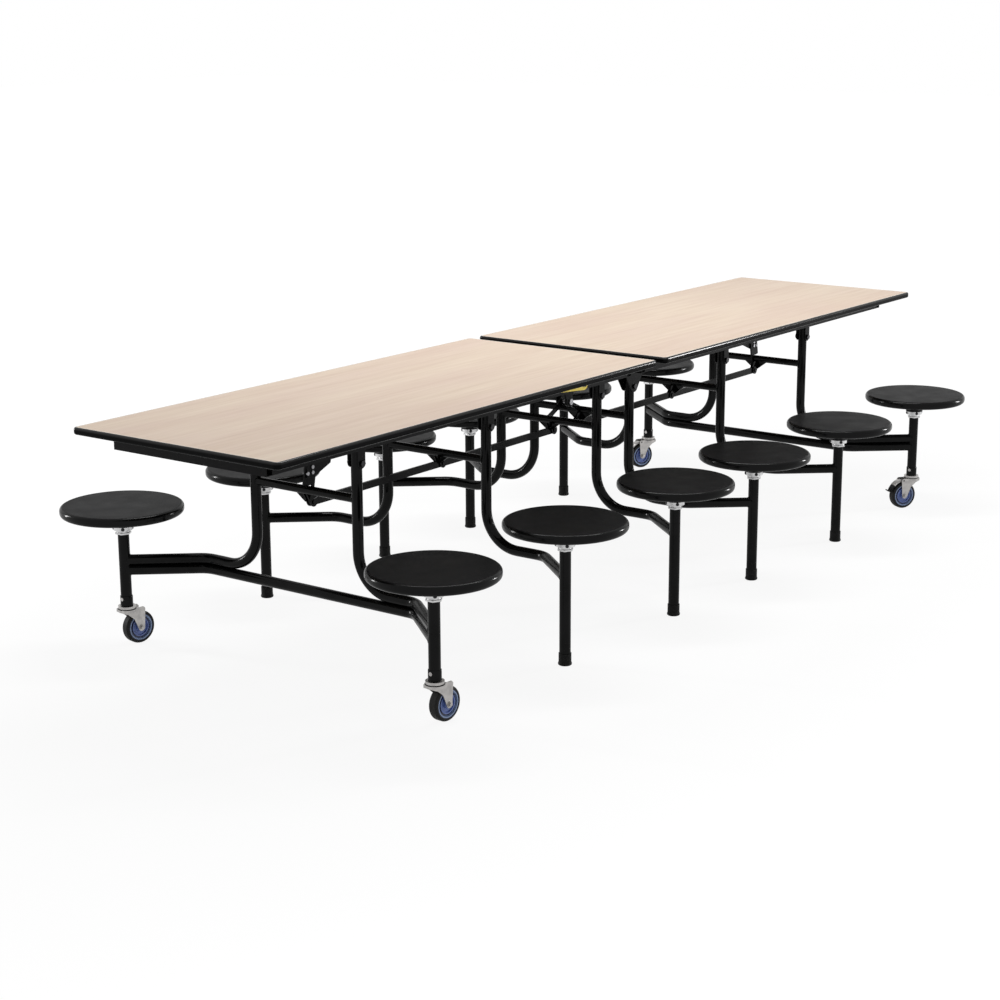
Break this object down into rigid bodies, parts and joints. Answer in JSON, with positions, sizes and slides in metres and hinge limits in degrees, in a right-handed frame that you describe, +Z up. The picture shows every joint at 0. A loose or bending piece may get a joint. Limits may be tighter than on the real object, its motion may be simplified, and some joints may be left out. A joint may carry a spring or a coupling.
{
  "type": "table with attached swivel seats",
  "caption": "Long mobile folding table on bent-tube frames, with round swivel stools along both sides, casters at the ends and rubber feet inboard.",
  "frame": {"origin": "on the floor under the middle joint of the two tops", "axes": "+X along the table, +Y across it, +Z up"},
  "size_m": [3.658, 1.55, 0.762],
  "materials": {
    "laminate": "satin wood-grain laminate",
    "edge_black": "glossy rounded black edge",
    "under_frame_black": "black powder coat",
    "frame_black": "gloss black powder coat",
    "bar_black": "black powder coat",
    "bolt_steel": "dark plated steel",
    "spindle_steel": "turned steel",
    "seat_black": "moulded black plastic",
    "cap_rubber": "black foot cap",
    "caster_zinc": "zinc plated steel",
    "pedal_black": "black brake lever",
    "wheel_blue": "blue moulded plastic",
    "tyre_black": "dark rubber tread",
    "latch_yellow": "yellow latch handle"
  },
  "bodies": {
    "left_table": {"left_top_board": "laminate", "left_edge_band": "edge_black", "left_under_frame": "under_frame_black", "left_leg_brackets": "under_frame_black", "left_stop_strut": "bar_black", "left_bolts": "bolt_steel", "hinge_pin": "bolt_steel"},
    "left_link": {"left_link_bar": "bar_black"},
    "left_end": {"left_end_frame": "frame_black", "left_end_spindles": "spindle_steel", "left_caster_stems": "caster_zinc"},
    "left_end_near_stool": {"left_end_near_seat": "seat_black"},
    "left_near_caster": {"left_near_fork": "caster_zinc"},
    "left_near_wheel": {"left_near_wheel_core": "wheel_blue", "left_near_tyre": "tyre_black"},
    "left_end_far_stool": {"left_end_far_seat": "seat_black"},
    "left_far_caster": {"left_far_fork": "caster_zinc"},
    "left_far_wheel": {"left_far_wheel_core": "wheel_blue", "left_far_tyre": "tyre_black"},
    "left_middle": {"left_middle_frame": "frame_black", "left_middle_spindles": "spindle_steel", "left_middle_foot_caps": "cap_rubber"},
    "left_middle_near_stool": {"left_middle_near_seat": "seat_black"},
    "left_middle_far_stool": {"left_middle_far_seat": "seat_black"},
    "left_inner": {"left_inner_frame": "frame_black", "left_inner_spindles": "spindle_steel", "left_inner_foot_caps": "cap_rubber"},
    "left_inner_near_stool": {"left_inner_near_seat": "seat_black"},
    "left_inner_far_stool": {"left_inner_far_seat": "seat_black"},
    "right_table": {"right_top_board": "laminate", "right_edge_band": "edge_black", "right_under_frame": "under_frame_black", "right_leg_brackets": "under_frame_black", "right_stop_strut": "bar_black", "right_bolts": "bolt_steel"},
    "right_link": {"right_link_bar": "bar_black"},
    "right_end": {"right_end_frame": "frame_black", "right_end_spindles": "spindle_steel", "right_caster_stems": "caster_zinc"},
    "right_end_near_stool": {"right_end_near_seat": "seat_black"},
    "right_near_caster": {"right_near_fork": "caster_zinc"},
    "right_near_wheel": {"right_near_wheel_core": "wheel_blue", "right_near_tyre": "tyre_black"},
    "right_near_brake": {"right_near_brake_pedal": "pedal_black"},
    "right_end_far_stool": {"right_end_far_seat": "seat_black"},
    "right_far_caster": {"right_far_fork": "caster_zinc"},
    "right_far_wheel": {"right_far_wheel_core": "wheel_blue", "right_far_tyre": "tyre_black"},
    "right_far_brake": {"right_far_brake_pedal": "pedal_black"},
    "right_middle": {"right_middle_frame": "frame_black", "right_middle_spindles": "spindle_steel", "right_middle_foot_caps": "cap_rubber"},
    "right_middle_near_stool": {"right_middle_near_seat": "seat_black"},
    "right_middle_far_stool": {"right_middle_far_seat": "seat_black"},
    "right_inner": {"right_inner_frame": "frame_black", "right_inner_spindles": "spindle_steel", "right_inner_foot_caps": "cap_rubber"},
    "right_inner_near_stool": {"right_inner_near_seat": "seat_black"},
    "right_inner_far_stool": {"right_inner_far_seat": "seat_black"},
    "latch": {"latch_handle": "latch_yellow"}
  },
  "joints": [
    {"name": "left_fold", "type": "hinge", "parent": "left_end", "child": "left_table", "pos_m": [-1.304, 0, 0.64], "axis": [0, -1, 0], "range_deg": [0, 88]},
    {"name": "left_end_near_swivel", "type": "hinge", "parent": "left_end", "child": "left_end_near_stool", "pos_m": [-1.464, -0.591, 0.38], "axis": [0, 0, 1], "continuous": true},
    {"name": "left_near_caster_swivel", "type": "hinge", "parent": "left_end", "child": "left_near_caster", "pos_m": [-1.464, -0.591, 0.11], "axis": [0, 0, 1], "continuous": true},
    {"name": "left_near_wheel_spin", "type": "hinge", "parent": "left_near_caster", "child": "left_near_wheel", "pos_m": [-1.42711, -0.5939, 0.05], "axis": [0.0785, 0.9969, 0], "continuous": true},
    {"name": "left_end_far_swivel", "type": "hinge", "parent": "left_end", "child": "left_end_far_stool", "pos_m": [-1.464, 0.591, 0.38], "axis": [0, 0, 1], "continuous": true},
    {"name": "left_far_caster_swivel", "type": "hinge", "parent": "left_end", "child": "left_far_caster", "pos_m": [-1.464, 0.591, 0.11], "axis": [0, 0, 1], "continuous": true},
    {"name": "left_far_wheel_spin", "type": "hinge", "parent": "left_far_caster", "child": "left_far_wheel", "pos_m": [-1.42756, 0.58457, 0.05], "axis": [0.1736, 0.9848, 0], "continuous": true},
    {"name": "left_middle_near_swivel", "type": "hinge", "parent": "left_middle", "child": "left_middle_near_stool", "pos_m": [-0.85, -0.591, 0.38], "axis": [0, 0, 1], "continuous": true},
    {"name": "left_middle_far_swivel", "type": "hinge", "parent": "left_middle", "child": "left_middle_far_stool", "pos_m": [-0.85, 0.591, 0.38], "axis": [0, 0, 1], "continuous": true},
    {"name": "left_inner_near_swivel", "type": "hinge", "parent": "left_inner", "child": "left_inner_near_stool", "pos_m": [-0.247, -0.591, 0.38], "axis": [0, 0, 1], "continuous": true},
    {"name": "left_inner_far_swivel", "type": "hinge", "parent": "left_inner", "child": "left_inner_far_stool", "pos_m": [-0.247, 0.591, 0.38], "axis": [0, 0, 1], "continuous": true},
    {"name": "right_end_near_swivel", "type": "hinge", "parent": "right_end", "child": "right_end_near_stool", "pos_m": [1.464, -0.591, 0.38], "axis": [0, 0, 1], "continuous": true},
    {"name": "right_near_caster_swivel", "type": "hinge", "parent": "right_end", "child": "right_near_caster", "pos_m": [1.464, -0.591, 0.11], "axis": [0, 0, 1], "continuous": true},
    {"name": "right_near_wheel_spin", "type": "hinge", "parent": "right_near_caster", "child": "right_near_wheel", "pos_m": [1.43262, -0.57139, 0.05], "axis": [-0.5299, -0.848, 0], "continuous": true},
    {"name": "right_near_brake_press", "type": "hinge", "parent": "right_near_caster", "child": "right_near_brake", "pos_m": [1.42753, -0.56821, 0.108], "axis": [-0.5299, -0.848, 0], "range_deg": [0, 6]},
    {"name": "right_end_far_swivel", "type": "hinge", "parent": "right_end", "child": "right_end_far_stool", "pos_m": [1.464, 0.591, 0.38], "axis": [0, 0, 1], "continuous": true},
    {"name": "right_far_caster_swivel", "type": "hinge", "parent": "right_end", "child": "right_far_caster", "pos_m": [1.464, 0.591, 0.11], "axis": [0, 0, 1], "continuous": true},
    {"name": "right_far_wheel_spin", "type": "hinge", "parent": "right_far_caster", "child": "right_far_wheel", "pos_m": [1.43047, 0.60664, 0.05], "axis": [-0.4226, -0.9063, 0], "continuous": true},
    {"name": "right_far_brake_press", "type": "hinge", "parent": "right_far_caster", "child": "right_far_brake", "pos_m": [1.42503, 0.60917, 0.108], "axis": [-0.4226, -0.9063, 0], "range_deg": [0, 6]},
    {"name": "right_middle_near_swivel", "type": "hinge", "parent": "right_middle", "child": "right_middle_near_stool", "pos_m": [0.85, -0.591, 0.38], "axis": [0, 0, 1], "continuous": true},
    {"name": "right_middle_far_swivel", "type": "hinge", "parent": "right_middle", "child": "right_middle_far_stool", "pos_m": [0.85, 0.591, 0.38], "axis": [0, 0, 1], "continuous": true},
    {"name": "right_inner_near_swivel", "type": "hinge", "parent": "right_inner", "child": "right_inner_near_stool", "pos_m": [0.247, -0.591, 0.38], "axis": [0, 0, 1], "continuous": true},
    {"name": "right_inner_far_swivel", "type": "hinge", "parent": "right_inner", "child": "right_inner_far_stool", "pos_m": [0.247, 0.591, 0.38], "axis": [0, 0, 1], "continuous": true},
    {"name": "middle_hinge", "type": "hinge", "parent": "left_table", "child": "right_table", "pos_m": [0, 0, 0.58], "axis": [0, -1, 0], "range_deg": [-176.2, 0]},
    {"name": "left_middle_pivot", "type": "hinge", "parent": "left_table", "child": "left_middle", "pos_m": [-0.7, 0, 0.64], "axis": [0, -1, 0], "range_deg": [-88.2, 0]},
    {"name": "left_inner_pivot", "type": "hinge", "parent": "left_table", "child": "left_inner", "pos_m": [-0.097, 0, 0.64], "axis": [0, -1, 0], "range_deg": [-88.2, 0]},
    {"name": "right_inner_pivot", "type": "hinge", "parent": "right_table", "child": "right_inner", "pos_m": [0.097, 0, 0.64], "axis": [0, -1, 0], "range_deg": [0, 88.2]},
    {"name": "right_middle_pivot", "type": "hinge", "parent": "right_table", "child": "right_middle", "pos_m": [0.7, 0, 0.64], "axis": [0, -1, 0], "range_deg": [0, 88.2]},
    {"name": "right_end_pivot", "type": "hinge", "parent": "right_table", "child": "right_end", "pos_m": [1.304, 0, 0.64], "axis": [0, -1, 0], "range_deg": [0, 88.2]},
    {"name": "left_link_pivot", "type": "hinge", "parent": "left_end", "child": "left_link", "pos_m": [-1.277, 0, 0.494], "axis": [0, -1, 0], "range_deg": [0, 88.2]},
    {"name": "right_link_pivot", "type": "hinge", "parent": "right_end", "child": "right_link", "pos_m": [1.277, 0, 0.494], "axis": [0, -1, 0], "range_deg": [-88.2, 0]},
    {"name": "latch_swing", "type": "hinge", "parent": "left_table", "child": "latch", "pos_m": [-0.309, -0.286, 0.7185], "axis": [0, -1, 0], "range_deg": [0, 25]}
  ],
  "couplings": [
    {"joint": "middle_hinge", "follows": "left_fold", "ratio": -2},
    {"joint": "left_middle_pivot", "follows": "left_fold", "ratio": -1},
    {"joint": "left_inner_pivot", "follows": "left_fold", "ratio": -1},
    {"joint": "right_inner_pivot", "follows": "left_fold", "ratio": 1},
    {"joint": "right_middle_pivot", "follows": "left_fold", "ratio": 1},
    {"joint": "right_end_pivot", "follows": "left_fold", "ratio": 1},
    {"joint": "left_link_pivot", "follows": "left_fold", "ratio": 1},
    {"joint": "right_link_pivot", "follows": "left_fold", "ratio": -1}
  ]
}
